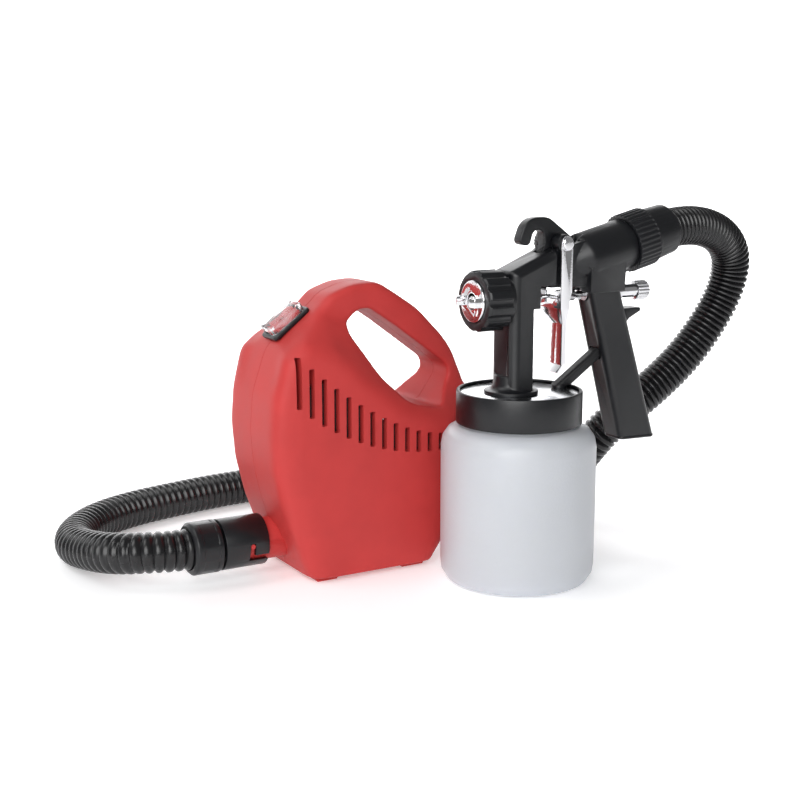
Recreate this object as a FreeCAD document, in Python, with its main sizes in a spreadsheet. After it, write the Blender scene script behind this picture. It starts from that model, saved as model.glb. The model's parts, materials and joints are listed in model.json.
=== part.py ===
import FreeCAD, Part
import math
import os
import re
import Sketcher
from FreeCAD import Placement, Rotation, Vector

# Electric paint sprayer: a turbine box that stands on the floor, a corrugated air hose, and a spray gun that
# stands on its own cup. The origin is the middle of the cup's base, Z is up, the gun's nozzle points to -X,
# and the turbine box stands behind the gun, at +Y. All sizes are in millimetres and degrees.
SIZES = {
    # clearances shared by all fits
    "face_gap": 0.3, "run_gap": 0.05, "thread_gap": 0.3, "slot_gap": 0.3,
    # cup and lid
    "cup_radius": 50.7, "cup_wall": 1.8, "cup_corner": 14, "cup_dish": 1.6, "base_ring": 33,
    "shoulder_corner": 13, "shoulder_height": 103, "neck_radius": 37.4, "neck_top": 121,
    "collar_radius": 41, "collar_bottom": 105.4, "collar_top": 126.8, "lip_width": 2.4, "lip_depth": 1.2,
    "gasket_depth": 1, "gasket_width": 5, "disc_radius": 39.4, "disc_depth": 3.2,
    "stem_x": -6, "dip_radius": 4, "dip_bore": 2.8, "dip_gap": 5, "dip_entry": 18,
    # gun moulding
    "neck_front": -14.5, "neck_back": 1.5, "head_half": 13, "head_back": 18.5, "step_back": 6.5,
    "step_low": 180, "web_low": 194.5, "head_top_front": 204, "head_top_back": 217.5,
    "web_half": 10, "rear_front": 45, "rear_back": 73, "rear_half": 15, "rear_low": 188,
    "foot_radius": 17.5, "foot_height": 2, "head_round": 6, "edge_round": 3,
    "needle_height": 186, "nose_radius": 15.5, "nose_length": 16.5,
    "grip_top_front": 49.6, "grip_top_back": 73, "grip_low_front": 77, "grip_low_back": 105,
    "grip_half_front": 9.5, "grip_half_back": 12.5, "grip_bottom": 88, "grip_round": 4,
    "cap_depth": 2, "grip_wall": 2.6,
    "air_slope": 14, "air_mouth_x": 82, "air_mouth_z": 217.5, "barrel_radius": 17, "barrel_length": 36,
    "barrel_nose": 12, "spigot_length": 13, "spigot_radius": 14, "spigot_bore": 12,
    # trigger, its pivot and the hook
    "pivot_x": 25.6, "pivot_z": 220.5, "pivot_radius": 2.5, "pivot_head": 4.2, "pivot_head_depth": 1.8,
    "arm_inner": 13, "sheet": 1.5, "arm_radius": 5, "arm_front": 21.2, "arm_low": 179, "arm_tip": 168,
    "plate_top": 190, "blade_front": 28.5, "blade_depth": 3.5, "blade_half": 6.5, "blade_bottom": 141,
    "lip_reach": 3.5, "lip_drop": 5, "hook_half": 4, "hook_band": 8.5, "hook_nut_radius": 9,
    "hook_nut_depth": 6.5, "boss_radius": 6,
    # fluid and air hardware of the gun
    "needle_radius": 1.5, "needle_tip": -33, "needle_end": 33, "carrier_radius": 4, "carrier_front": 29,
    "carrier_back": 41, "cross_x": 35, "cross_radius": 1.25, "cross_half": 16, "stem_end": 60,
    "stem_seat": 50, "seat_radius": 4.4, "spring_bore": 4.7, "spring_wire": 0.5, "bush_front": 64,
    "bush_radius": 5.6, "knob_shaft": 3, "knob_front": 91.9, "knob_length": 9.5, "knob_radius": 6.6,
    "packing_radius": 5.5, "packing_length": 7, "nozzle_seat": 7.5, "nozzle_back": -20, "nozzle_tip": -37.5,
    "nut_radius": 19.5, "nut_back": -18, "nut_front": -36, "nut_lip": 1.8, "cap_flange": 15.2,
    "cap_radius": 13.3, "cap_back": -31.3, "cap_face": -37.5, "horn_reach": 7, "horn_half": 3,
    "tube_low_x": 32, "tube_low_z": 126, "tube_slope": 34, "tube_high": 38, "tube_wide": 9, "tube_deep": 7.2,
    # turbine box
    "turbine_y": 89, "half_width": 41, "crown_half": 33, "core_half": 20, "shell_wall": 2.6,
    "foot_x": -115, "heel_x": -48, "toe_x": -127, "toe_z": 8, "band_radius": 205,
    "band_top_x": -139.5, "band_top_z": 154.5, "slope_top_x": -107, "slope_top_z": 179.5,
    "end_x": 8.5, "end_corner": 40, "handle_round": 8, "ridge_round": 7,
    "vent_count": 13, "vent_pitch": 8.75, "vent_width": 3.6, "vent_first_x": -134.5, "vent_reach": 22,
    "motor_x": -78, "motor_z": 61, "fan_radius": 37, "impeller_radius": 33.5, "stator_radius": 28,
    "stator_bore": 16.4, "rotor_radius": 16, "shaft_radius": 4, "can_sheet": 1.2, "bearing_radius": 9,
    "commutator_radius": 10, "deep_reach": 37.5, "wide_reach": 24, "screw_radius": 1.9, "post_radius": 4.5,
    "outlet_z": 25, "outlet_back": -118, "outlet_front": -160, "lug_x": -157.5, "lug_angle": 5,
    "lug_half": 1.5, "lug_height": 2.6, "entry_angle": 30,
    "bezel_long": 31.4, "bezel_wide": 22, "bezel_deep": 3, "switch_slope": 37, "rocker_long": 23,
    "rocker_wide": 14, "cover_height": 6.5, "cover_wall": 1,
    # hose ends and hose
    "sleeve_radius": 17, "sleeve_mouth": -146, "sleeve_length": 30, "end_radius": 17.4, "end_length": 19,
    "hose_radius": 13.5, "hose_wall": 2, "hose_grip": 14, "collar_length": 18, "lock_radius": 19.7,
}

# The hose lies on the floor from the turbine's outlet, turns back behind both pieces, and rises to the gun.
HOSE_ROUTE = [
    (-182, 89, 25), (-203, 89, 25), (-220.5, 93, 25.6), (-233.5, 103.5, 24), (-241, 120, 21), (-245, 142, 17.5),
    (-248.5, 169, 14), (-238, 198, 13.6), (-213.5, 224.5, 13.6), (-181.3, 241.4, 13.6), (-146, 250.7, 13.6), (-110.1, 258.6, 13.6),
    (-71.9, 261.6, 13.6), (-35.6, 254.6, 13.6), (-2.4, 237.9, 13.6), (26.5, 212.5, 13.6), (51.5, 182.3, 14.3),
    (71.6, 150.3, 18.1), (85.5, 117, 25.5), (93, 87, 37), (94, 61.5, 53), (97.5, 43, 75.5), (116, 35.4, 94.5),
    (141.4, 31, 111.9), (164.6, 26.6, 132.5), (181.5, 21.5, 156.7), (192.2, 17, 180), (192.6, 12.6, 203.5),
    (177, 8, 219.8), (151.2, 3.3, 227.9), (122, 0, 227.5), (105.3, 0, 223.3),
]

doc = FreeCAD.newDocument("paint_sprayer")
sheet = doc.addObject("Spreadsheet::Sheet", "sizes")
for row, (size_name, size_value) in enumerate(SIZES.items(), start=1):
    sheet.set(f"A{row}", size_name)
    sheet.set(f"B{row}", str(size_value))
    sheet.setAlias(f"B{row}", size_name)
doc.recompute()
nodes = []


def cells(text):
    """Point each size that an expression names at its cell."""
    return re.sub(r"[a-z][a-z_]+", lambda m: "sizes." + m[0] if m[0] in SIZES else m[0], str(text))


def value(text):
    return float(sheet.evalExpression(cells(text)))


def start(label, x=0, y=0, z=0, axis=(0, 0, 1), turn=0):
    """Begin a sub-part whose own frame is turned about an axis and set at a place."""
    body = doc.addObject("PartDesign::Body", label)
    body.Label = label
    seat(body, x, y, z, axis, turn)
    nodes.append(body)
    return body


def seat(piece, x=0, y=0, z=0, axis=(0, 0, 1), turn=0):
    piece.Placement = Placement(Vector(0, 0, 0), Rotation(Vector(*axis), 1))
    for letter, text in zip("xyz", (x, y, z)):
        piece.setExpression("Placement.Base." + letter, cells(text))
    piece.setExpression("Placement.Rotation.Angle", cells(turn))


def blank(body, name, plane, offset=0, shift=(0, 0), tilt_axis=(0, 0, 1), tilt=0):
    """An empty sketch on one of the body's own planes, moved along and across it and tilted."""
    sketch = body.newObject("Sketcher::SketchObject", body.Label + "_" + name)
    origin_plane = next(f for f in body.Origin.OriginFeatures if f.Role == plane)
    sketch.AttachmentSupport = [(origin_plane, "")]
    sketch.MapMode = "FlatFace"
    sketch.AttachmentOffset = Placement(Vector(0, 0, 0), Rotation(Vector(*tilt_axis), 1))
    for letter, text in zip("xyz", (*shift, offset)):
        sketch.setExpression("AttachmentOffset.Base." + letter, cells(text))
    sketch.setExpression("AttachmentOffset.Rotation.Angle", cells(tilt))
    return sketch


def bind(sketch, rules):
    """Add constraints; a rule's last item is the expression that drives it, or None."""
    first = sketch.ConstraintCount
    sketch.addConstraint([rule for rule, text in rules])
    for index, (rule, text) in enumerate(rules, start=first):
        if text is not None:
            sketch.setExpression(f"Constraints[{index}]", cells(text))


def outline(sketch, corners):
    """Draw a closed outline. A corner is (across, up), with a third value where it is rounded."""
    spots = [Vector(value(c[0]), value(c[1]), 0) for c in corners]
    count = len(spots)
    leaving, arriving, arcs = [], [], {}
    for i, corner in enumerate(corners):
        to_last = (spots[i - 1] - spots[i]).normalize()
        to_next = (spots[(i + 1) % count] - spots[i]).normalize()
        if len(corner) < 3:
            arriving.append(spots[i])
            leaving.append(spots[i])
            continue
        radius = value(corner[2])
        half = to_last.getAngle(to_next) / 2
        arriving.append(spots[i] + to_last * (radius / math.tan(half)))
        leaving.append(spots[i] + to_next * (radius / math.tan(half)))
        centre = spots[i] + (to_last + to_next).normalize() * (radius / math.sin(half))
        left_turn = to_next.cross(to_last).z > 0
        ends = (arriving[i], leaving[i]) if left_turn else (leaving[i], arriving[i])
        angles = [math.atan2((e - centre).y, (e - centre).x) for e in ends]
        circle = Part.Circle(centre, Vector(0, 0, 1), radius)
        arcs[i] = (Part.ArcOfCircle(circle, *angles), left_turn, corner[2])
    first = sketch.GeometryCount
    for i in range(count):
        sketch.addGeometry(Part.LineSegment(leaving[i], arriving[(i + 1) % count]), False)
    rules = []
    for i, corner in enumerate(corners):
        line, last = first + i, first + (i - 1) % count
        if i in arcs:
            arc, left_turn, radius_text = arcs[i]
            bend = sketch.addGeometry(arc, False)
            point = sketch.addGeometry(Part.Point(spots[i]), True)
            into, out = (1, 2) if left_turn else (2, 1)
            rules.append((Sketcher.Constraint("Tangent", last, 2, bend, into), None))
            rules.append((Sketcher.Constraint("Tangent", bend, out, line, 1), None))
            rules.append((Sketcher.Constraint("PointOnObject", point, 1, last), None))
            rules.append((Sketcher.Constraint("PointOnObject", point, 1, line), None))
            rules.append((Sketcher.Constraint("Radius", bend, value(radius_text)), radius_text))
        else:
            point = line
            rules.append((Sketcher.Constraint("Coincident", last, 2, line, 1), None))
        place = spots[i]
        rules.append((Sketcher.Constraint("DistanceX", -1, 1, point, 1, place.x), corner[0]))
        rules.append((Sketcher.Constraint("DistanceY", -1, 1, point, 1, place.y), corner[1]))
    bind(sketch, rules)
    return sketch


def ring(sketch, across, up, radius):
    """Draw a circle."""
    centre = Vector(value(across), value(up), 0)
    circle = sketch.addGeometry(Part.Circle(centre, Vector(0, 0, 1), value(radius)), False)
    bind(sketch, [
        (Sketcher.Constraint("DistanceX", -1, 1, circle, 3, centre.x), across),
        (Sketcher.Constraint("DistanceY", -1, 1, circle, 3, centre.y), up),
        (Sketcher.Constraint("Radius", circle, value(radius)), radius),
    ])
    return sketch


def sweep(body, kind, sketch, length, both=False, flip=False):
    """Pad or pocket a sketch by a length, to one side or evenly to both."""
    feature = body.newObject("PartDesign::" + kind, sketch.Name + "_" + kind.lower())
    feature.Profile = sketch
    feature.setExpression("Length", cells(length))
    feature.SideType = "Symmetric" if both else "One side"
    feature.Reversed = flip
    return feature


def pad(body, sketch, length, both=False, flip=False):
    return sweep(body, "Pad", sketch, length, both, flip)


def pocket(body, sketch, length, both=False, flip=False):
    """Cut with a sketch, and check that the cut met the solid."""
    doc.recompute()
    before = body.Shape.Volume
    feature = sweep(body, "Pocket", sketch, length, both, flip)
    doc.recompute()
    if body.Shape.Volume > before - 1e-3:
        raise RuntimeError(feature.Name + " cuts nothing")
    return feature


def spin(body, sketch, kind="Revolution"):
    """Revolve a sketch about its own vertical axis."""
    feature = body.newObject("PartDesign::" + kind, sketch.Name + "_spin")
    feature.Profile = sketch
    feature.ReferenceAxis = (sketch, ["V_Axis"])
    feature.Angle = 360
    return feature


def loft(body, sketches, ruled=True):
    feature = body.newObject("PartDesign::AdditiveLoft", sketches[0].Name + "_loft")
    feature.Profile = sketches[0]
    feature.Sections = sketches[1:]
    feature.Ruled = ruled
    return feature


def around(body, feature, count):
    """Repeat a feature evenly about the body's Z axis."""
    pattern = body.newObject("PartDesign::PolarPattern", feature.Name + "_ring")
    pattern.Originals = [feature]
    axis = next(f for f in body.Origin.OriginFeatures if f.Role == "Z_Axis")
    pattern.Axis = (axis, [""])
    pattern.Angle = 360
    pattern.Occurrences = count
    body.Tip = pattern
    return pattern


def soften(body, kind, size, wanted):
    """Fillet or chamfer the edges of the body's last feature that a test picks."""
    doc.recompute()
    base = body.Tip
    names = [f"Edge{i}" for i, edge in enumerate(base.Shape.Edges, start=1) if wanted(edge)]
    if not names:
        raise RuntimeError(base.Name + " has no such edge")
    feature = body.newObject("PartDesign::" + kind, base.Name + "_" + kind.lower())
    feature.Base = (base, names)
    feature.setExpression("Radius" if kind == "Fillet" else "Size", cells(size))
    return feature


def turned(label, corners, x=0, y=0, z=0, axis=(0, 1, 0), turn=0):
    """A round sub-part, turned about its own Z axis from corners given as (radius, height)."""
    body = start(label, x, y, z, axis, turn)
    spin(body, outline(blank(body, "profile", "XZ_Plane"), corners))
    return body


def tube(inner, outer, low, high):
    """The half profile of a plain tube."""
    return [(inner, low), (outer, low), (outer, high), (inner, high)]


def rod(radius, low, high):
    return tube("0", radius, low, high)


def near(number, target, slack=0.01):
    return abs(number - target) < slack


# ---------------------------------------------------------------- cup, lid and dip tube
# Blow-moulded cup with a rounded shoulder and a wide threaded neck.
turned("cup", [
    ("0", "0"), ("base_ring - 12", "0"), ("base_ring - 10", "cup_dish"), ("base_ring - 2", "cup_dish"),
    ("base_ring", "0"), ("cup_radius", "0", "cup_corner"),
    ("cup_radius", "shoulder_height", "shoulder_corner"), ("neck_radius", "shoulder_height + 1.5"),
    ("neck_radius", "neck_top"), ("neck_radius - cup_wall", "neck_top"),
    ("neck_radius - cup_wall", "shoulder_height - cup_wall"),
    ("cup_radius - 0.75 * shoulder_corner", "shoulder_height - cup_wall - 0.6"),
    ("cup_radius - cup_wall - 0.6", "shoulder_height - 0.75 * shoulder_corner"),
    ("cup_radius - cup_wall", "shoulder_height - shoulder_corner"),
    ("cup_radius - cup_wall", "cup_corner"), ("cup_radius - cup_wall - 2.6", "cup_corner / 2"),
    ("cup_radius - cup_corner * 0.6", "cup_wall + 1.5"), ("base_ring", "cup_wall + cup_dish"),
    ("0", "cup_wall + cup_dish"),
])

# Flat gasket that the disc presses on the cup's rim.
turned("lid_gasket", tube("neck_radius - gasket_width", "neck_radius", "neck_top", "neck_top + gasket_depth"))

# Metal lid disc, bored for the dip tube under the gun's neck.
disc_bottom = "(neck_top + gasket_depth)"
disc_top = "(neck_top + gasket_depth + disc_depth)"
lid_disc = turned("lid_disc", rod("disc_radius", disc_bottom, disc_top))
hole = ring(blank(lid_disc, "bore", "XY_Plane", disc_bottom), "stem_x", "0", "dip_radius")
pocket(lid_disc, hole, "disc_depth", flip=True)

# Screw collar that turns round the cup's neck and holds the disc down with a narrow lip.
collar_bore = "neck_radius + thread_gap"
disc_room = "disc_radius + slot_gap"
lid_collar = turned("lid_collar", [
    (collar_bore, "collar_bottom"), ("collar_radius", "collar_bottom"),
    ("collar_radius", "collar_top"), ("collar_radius - lip_width", "collar_top"),
    ("collar_radius - lip_width", disc_top + " + face_gap"), (disc_room, disc_top + " + face_gap"),
    (disc_room, disc_bottom + " - face_gap"), (collar_bore, disc_bottom + " - face_gap"),
])

turned("dip_tube", tube("dip_bore", "dip_radius", "cup_dish + cup_wall + dip_gap", disc_top + " + dip_entry"),
       x="stem_x")

# ---------------------------------------------------------------- gun moulding
# One black moulding: neck and head block, a narrow web, the slanted air barrel and the pistol grip.
gun = start("gun_body")
head = outline(blank(gun, "head", "XZ_Plane"), [
    ("neck_front", disc_top), ("neck_back", disc_top), ("neck_back", "step_low"), ("step_back", "step_low"),
    ("step_back", "web_low"), ("head_back", "web_low"), ("head_back", "head_top_back"),
    ("neck_front", "head_top_front", "3"),
])
pad(gun, head, "2 * head_half", both=True)
head_side = value("head_half")


def head_ridge(edge):
    """The long upper edges of the head block; the fillet runs on down the front of the neck."""
    box = edge.BoundBox
    return near(abs(box.YMin), head_side) and near(box.YMin, box.YMax) and box.ZMin > 200 and box.XLength > 20


soften(gun, "Fillet", "head_round", head_ridge)
web = outline(blank(gun, "web", "XZ_Plane"), [
    ("head_back - 2", "web_low - 2"), ("rear_front + 2", "web_low - 2"), ("rear_front + 2", "head_top_back + 5"),
    ("head_back - 2", "head_top_back - 1.5"),
])
pad(gun, web, "2 * web_half", both=True)
rear = outline(blank(gun, "rear", "XZ_Plane"), [
    ("rear_front", "rear_low"), ("rear_back", "rear_low"), ("rear_back", "air_mouth_z - 2"),
    ("rear_front", "air_mouth_z - 8"),
])
pad(gun, rear, "2 * rear_half", both=True)


def grip_section(name, front, back, height, wall="0"):
    """A cross-section of the grip, narrower at the front, inset by a wall."""
    sides = [
        (f"{front} + {wall}", f"-grip_half_front + {wall}"), (f"{back} - {wall}", f"-grip_half_back + {wall}"),
        (f"{back} - {wall}", f"grip_half_back - {wall}"), (f"{front} + {wall}", f"grip_half_front - {wall}"),
    ]
    corner = f"grip_round - {wall}"
    return outline(blank(gun, name, "XY_Plane", height), [(*side, corner) for side in sides])


loft(gun, [
    grip_section("grip_bottom", "grip_low_front", "grip_low_back", "grip_bottom"),
    grip_section("grip_top", "grip_top_front", "grip_top_back", "rear_low"),
])
spur = outline(blank(gun, "spur", "XZ_Plane"), [
    ("rear_back - 2", "rear_low - 9"), ("rear_back + 6", "rear_low - 13"), ("rear_back + 21", "rear_low - 13"),
    ("rear_back + 21", "rear_low - 15.5", "1"), ("rear_back + 9", "rear_low - 21", "9"),
    ("rear_back + 7", "rear_low - 34"), ("rear_back", "rear_low - 34"),
])
pad(gun, spur, "12", both=True)
foot = outline(blank(gun, "foot", "XZ_Plane", shift=("(neck_front + neck_back) / 2", disc_top)), [
    ("0", "0"), ("foot_radius", "0"), ("foot_radius", "foot_height"), ("12.5", "foot_height + 1", "5"),
    ("11", "12"), ("0", "12"),
])
spin(gun, foot)
nose = ring(blank(gun, "nose", "YZ_Plane", "neck_front + 1"), "0", "needle_height", "nose_radius")
pad(gun, nose, "nose_length + 1", flip=True)

# The air barrel slopes up to the rear and ends in the spigot that the hose locks on.
barrel_frame = dict(shift=("air_mouth_x", "air_mouth_z"), tilt="air_slope - 90")
barrel = outline(blank(gun, "barrel", "XZ_Plane", **barrel_frame), [
    ("0", "-barrel_length - barrel_nose"), ("barrel_radius - 7", "-barrel_length - barrel_nose", "3"),
    ("barrel_radius", "-barrel_length", "8"), ("barrel_radius", "-face_gap"), ("spigot_radius", "-face_gap"),
    ("spigot_radius", "spigot_length"), ("0", "spigot_length"),
])
spin(gun, barrel)
boss = ring(blank(gun, "boss", "XZ_Plane", "hook_half + face_gap"), "pivot_x", "pivot_z", "boss_radius")
pad(gun, boss, "arm_inner - hook_half - 2 * face_gap")
air_bore = outline(blank(gun, "air_bore", "XZ_Plane", **barrel_frame), [
    ("0", "-barrel_length"), ("spigot_bore", "-barrel_length + 6"), ("spigot_bore", "spigot_length + 1"),
    ("0", "spigot_length + 1"),
])
spin(gun, air_bore, "Groove")
doc.recompute()

# Cuts for the hook, its nut and the pivot bolt.
hook_slot = outline(blank(gun, "hook_slot", "XZ_Plane"), [
    ("pivot_x - 15", "pivot_z - 6"), ("pivot_x + 19", "pivot_z - 6"), ("pivot_x + 19", "pivot_z + 12"),
    ("pivot_x - 15", "pivot_z + 12"),
])
pocket(gun, hook_slot, "2 * (hook_half + slot_gap)", both=True)
nut_room = ring(blank(gun, "nut_room", "XZ_Plane", "-hook_half"), "pivot_x", "pivot_z",
                "hook_nut_radius + slot_gap")
pocket(gun, nut_room, "arm_inner", flip=False)
bolt_hole = ring(blank(gun, "bolt_hole", "XZ_Plane"), "pivot_x", "pivot_z", "pivot_radius")
pocket(gun, bolt_hole, "4 * head_half", both=True)

# Bores on the needle's axis: nozzle seat, needle passage, spring chamber and knob bush.
nozzle_bore = ring(blank(gun, "nozzle_bore", "YZ_Plane", "nozzle_back"), "0", "needle_height", "nozzle_seat")
pocket(gun, nozzle_bore, "20", flip=False)
needle_bore = ring(blank(gun, "needle_bore", "YZ_Plane", "neck_front - 8"), "0", "needle_height",
                   "needle_radius + slot_gap")
pocket(gun, needle_bore, "step_back - neck_front + 12", flip=True)
spring_room = ring(blank(gun, "spring_room", "YZ_Plane", "rear_front - 3"), "0", "needle_height", "spring_bore")
pocket(gun, spring_room, "bush_front - rear_front + 3", flip=True)
bush_bore = ring(blank(gun, "bush_bore", "YZ_Plane", "bush_front"), "0", "needle_height", "bush_radius")
pocket(gun, bush_bore, "30", flip=True)
flange_room = ring(blank(gun, "flange_room", "YZ_Plane", "rear_back"), "0", "needle_height", "bush_radius + 1.5")
pocket(gun, flange_room, "12", flip=True)
stem_bore = ring(blank(gun, "stem_bore", "XY_Plane", disc_top), "stem_x", "0", "dip_radius")
pocket(gun, stem_bore, "dip_entry", flip=True)
fluid_way = ring(blank(gun, "fluid_way", "XY_Plane", disc_top), "stem_x", "0", "dip_bore")
pocket(gun, fluid_way, "needle_height - 126", flip=True)

# The grip is hollow and closed below by a cap. The pressure tube enters its front wall.
hollow = gun.newObject("PartDesign::SubtractiveLoft", "grip_hollow")
hollow.Profile = grip_section("hollow_low", "grip_low_front", "grip_low_back", "grip_bottom", "grip_wall")
hollow.Sections = [grip_section("hollow_high", "grip_top_front + 5.6", "grip_top_back + 5.6", "rear_low - 20",
                                "grip_wall")]
hollow.Ruled = True
tube_frame = dict(shift=("tube_low_x", "tube_low_z"), tilt="tube_slope")
tube_hole = outline(blank(gun, "tube_hole", "XZ_Plane", **tube_frame), [
    ("22", "-tube_deep / 2 - slot_gap"), ("tube_high", "-tube_deep / 2 - slot_gap"),
    ("tube_high", "tube_deep / 2 + slot_gap"), ("22", "tube_deep / 2 + slot_gap"),
])
pocket(gun, tube_hole, "tube_wide + 2 * slot_gap", both=True)

grip_cap = start("grip_cap", z="grip_bottom - cap_depth")
cap_corners = [("grip_low_front + 0.6", "-grip_half_front"), ("grip_low_back + 0.6", "-grip_half_back"),
               ("grip_low_back + 0.6", "grip_half_back"), ("grip_low_front + 0.6", "grip_half_front")]
cap_face = outline(blank(grip_cap, "plate", "XY_Plane"), [(*c, "grip_round") for c in cap_corners])
pad(grip_cap, cap_face, "cap_depth")
soften(grip_cap, "Fillet", "0.8", lambda edge: near(edge.BoundBox.ZMax, 0))
plug = outline(blank(grip_cap, "plug", "XY_Plane", "cap_depth"), [
    ("grip_low_front + 5", "-5"), ("grip_low_back - 5", "-7"), ("grip_low_back - 5", "7"),
    ("grip_low_front + 5", "5"),
])
pad(grip_cap, plug, "3")

# ---------------------------------------------------------------- fluid and air hardware of the gun
fluid_nozzle = turned("fluid_nozzle", [
    ("needle_radius + slot_gap", "nozzle_back * -1"), ("nozzle_seat", "nozzle_back * -1"),
    ("nozzle_seat", "-cap_back + 0.5"), ("4.6", "-cap_back + 1.5"), ("3.6", "-cap_face - 0.5"),
    ("2.4", "-nozzle_tip + 0.6"), ("1.2", "-nozzle_tip + 0.6"), ("needle_radius + slot_gap", "-nozzle_tip - 3"),
], z="needle_height", turn=-90)
air_cap = turned("air_cap", [
    ("10", "-cap_back"), ("cap_flange", "-cap_back"), ("cap_flange", "-cap_back + 2.6"),
    ("cap_radius", "-cap_back + 2.6"), ("cap_radius", "-cap_face", "1"), ("5.2", "-cap_face"),
    ("5.2", "-cap_face - 2"), ("10", "-cap_back + 2"),
], z="needle_height", turn=-90)
horns = blank(air_cap, "horns", "YZ_Plane")
for low, high in (("-11.4", "-6.9"), ("6.9", "11.4")):
    outline(horns, [
        (low, "-cap_face - 1"), (high, "-cap_face - 1"), (high, "-cap_face + horn_reach - 2"),
        ((high if low[0] == "-" else low), "-cap_face + horn_reach"), (low, "-cap_face + horn_reach - 2")]
        if low[0] == "-" else [
        (low, "-cap_face - 1"), (high, "-cap_face - 1"), (high, "-cap_face + horn_reach - 2"),
        (low, "-cap_face + horn_reach")])
pad(air_cap, horns, "2 * horn_half", both=True)
jets = ring(ring(blank(air_cap, "jets", "XY_Plane", "-cap_back"), "4.6 * 1.7", "3", "0.7"),
            "-4.6 * 1.7", "-3", "0.7")
pocket(air_cap, jets, "10", flip=True)

nozzle_nut = turned("nozzle_ring_nut", [
    ("nose_radius + thread_gap", "-nut_back"), ("nut_radius", "-nut_back"), ("nut_radius", "-nut_front - 1.5"),
    ("nut_radius - 1.5", "-nut_front"),
    ("cap_radius + 0.2", "-nut_front"), ("cap_radius + 0.2", "-nut_front - nut_lip"),
    ("nose_radius + thread_gap", "-nut_front - nut_lip"),
], z="needle_height", turn=-90)
scallop = ring(blank(nozzle_nut, "scallop", "XY_Plane", "-nut_back"), "nut_radius + 2", "0", "3.4")
around(nozzle_nut, pocket(nozzle_nut, scallop, "nut_back - nut_front + 1", flip=True), 12)

packing = turned("packing_nut", tube("needle_radius + run_gap", "packing_radius", "step_back",
                                     "step_back + packing_length"), z="needle_height", turn=90)
flat = outline(blank(packing, "flat", "XY_Plane", "step_back + 2"), [
    ("packing_radius - 0.8", "-6"), ("packing_radius + 3", "-6"), ("packing_radius + 3", "6"),
    ("packing_radius - 0.8", "6"),
])
around(packing, pocket(packing, flat, "packing_length", flip=True), 6)

needle = turned("needle", [
    ("0", "needle_tip"), ("needle_radius", "needle_tip + 6"), ("needle_radius", "carrier_front"),
    ("carrier_radius", "carrier_front"), ("carrier_radius", "carrier_back"), ("2", "carrier_back"),
    ("2", "stem_seat"), ("seat_radius", "stem_seat"), ("seat_radius", "stem_seat + 2"), ("2", "stem_seat + 2"),
    ("2", "stem_end"), ("0", "stem_end"),
], z="needle_height", turn=90)
cross_bore = ring(blank(needle, "cross_bore", "XZ_Plane"), "0", "cross_x", "cross_radius")
pocket(needle, cross_bore, "3 * carrier_radius", both=True)
cross_pin = turned("cross_pin", [
    ("0", "-cross_half"), ("cross_radius", "-cross_half"), ("cross_radius", "cross_half"), ("0", "cross_half"),
], x="cross_x", z="needle_height", axis=(1, 0, 0), turn=-90)

knob_bush = turned("knob_bush", [
    ("knob_shaft + run_gap", "bush_front"), ("bush_radius", "bush_front"), ("bush_radius", "rear_back"),
    ("bush_radius + 1.2", "rear_back"), ("bush_radius + 1.2", "rear_back + 5"),
    ("knob_shaft + run_gap", "rear_back + 5"),
], z="needle_height", turn=90)
knob = turned("flow_knob", [
    ("0", "stem_end + 5.5"), ("knob_shaft", "stem_end + 5.5"), ("knob_shaft", "rear_back + 6"),
    ("4.5", "rear_back + 6"), ("4.5", "knob_front"), ("knob_radius", "knob_front"),
    ("knob_radius", "knob_front + knob_length"), ("0", "knob_front + knob_length"),
], z="needle_height", turn=90)
flute = ring(blank(knob, "flute", "XY_Plane", "knob_front"), "knob_radius + 0.5", "0", "0.9")
around(knob, pocket(knob, flute, "knob_length + 1", flip=True), 18)

# ---------------------------------------------------------------- trigger, pivot, hook
# Pressed sheet trigger: a channel with two arms that straddle the gun and a narrow finger blade.
trigger = start("trigger")


def trigger_section(name, front, back, half, height, inner=False):
    """A cross-section of the trigger's channel; the inner one is open to the rear."""
    if inner:
        front, back, half = f"{front} + sheet", f"{back} + 2", f"{half} - sheet"
    sides = [(front, f"-({half})"), (back, f"-({half})"), (back, half), (front, half)]
    return outline(blank(trigger, name, "XY_Plane", height), sides)


levels = [
    ("arm_front", "arm_front + 8.8", "arm_inner + sheet", "plate_top"),
    ("arm_front", "arm_front + 7.3", "arm_inner + sheet", "plate_top - 5"),
    ("arm_front", "arm_front + 7.1", "arm_inner + sheet", "arm_low"),
    ("blade_front", "blade_front + blade_depth", "blade_half", "arm_tip"),
    ("blade_front", "blade_front + blade_depth", "blade_half", "blade_bottom"),
]
loft(trigger, [trigger_section(f"outer{i}", *level) for i, level in enumerate(levels)])
for side in ("arm_inner", "-arm_inner - sheet"):
    arm = outline(blank(trigger, "arm", "XZ_Plane", side), [
        ("arm_front", "plate_top - 1"), ("arm_front + 8.8", "plate_top - 1"),
        ("arm_front + 8.8", "pivot_z + arm_radius", "4.3"), ("arm_front", "pivot_z + arm_radius", "4.3"),
    ])
    pad(trigger, arm, "sheet")
lip = outline(blank(trigger, "lip", "XZ_Plane"), [
    ("blade_front", "blade_bottom"), ("blade_front + sheet", "blade_bottom"),
    ("blade_front + sheet - 2.6", "blade_bottom - lip_drop"), ("blade_front - lip_reach", "blade_bottom - lip_drop"),
])
pad(trigger, lip, "2 * blade_half", both=True)
channel = trigger.newObject("PartDesign::SubtractiveLoft", "trigger_channel")
inner = [trigger_section(f"inner{i}", *level, inner=True) for i, level in enumerate(levels)]
channel.Profile = inner[0]
channel.Sections = inner[1:]
channel.Ruled = True
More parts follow.
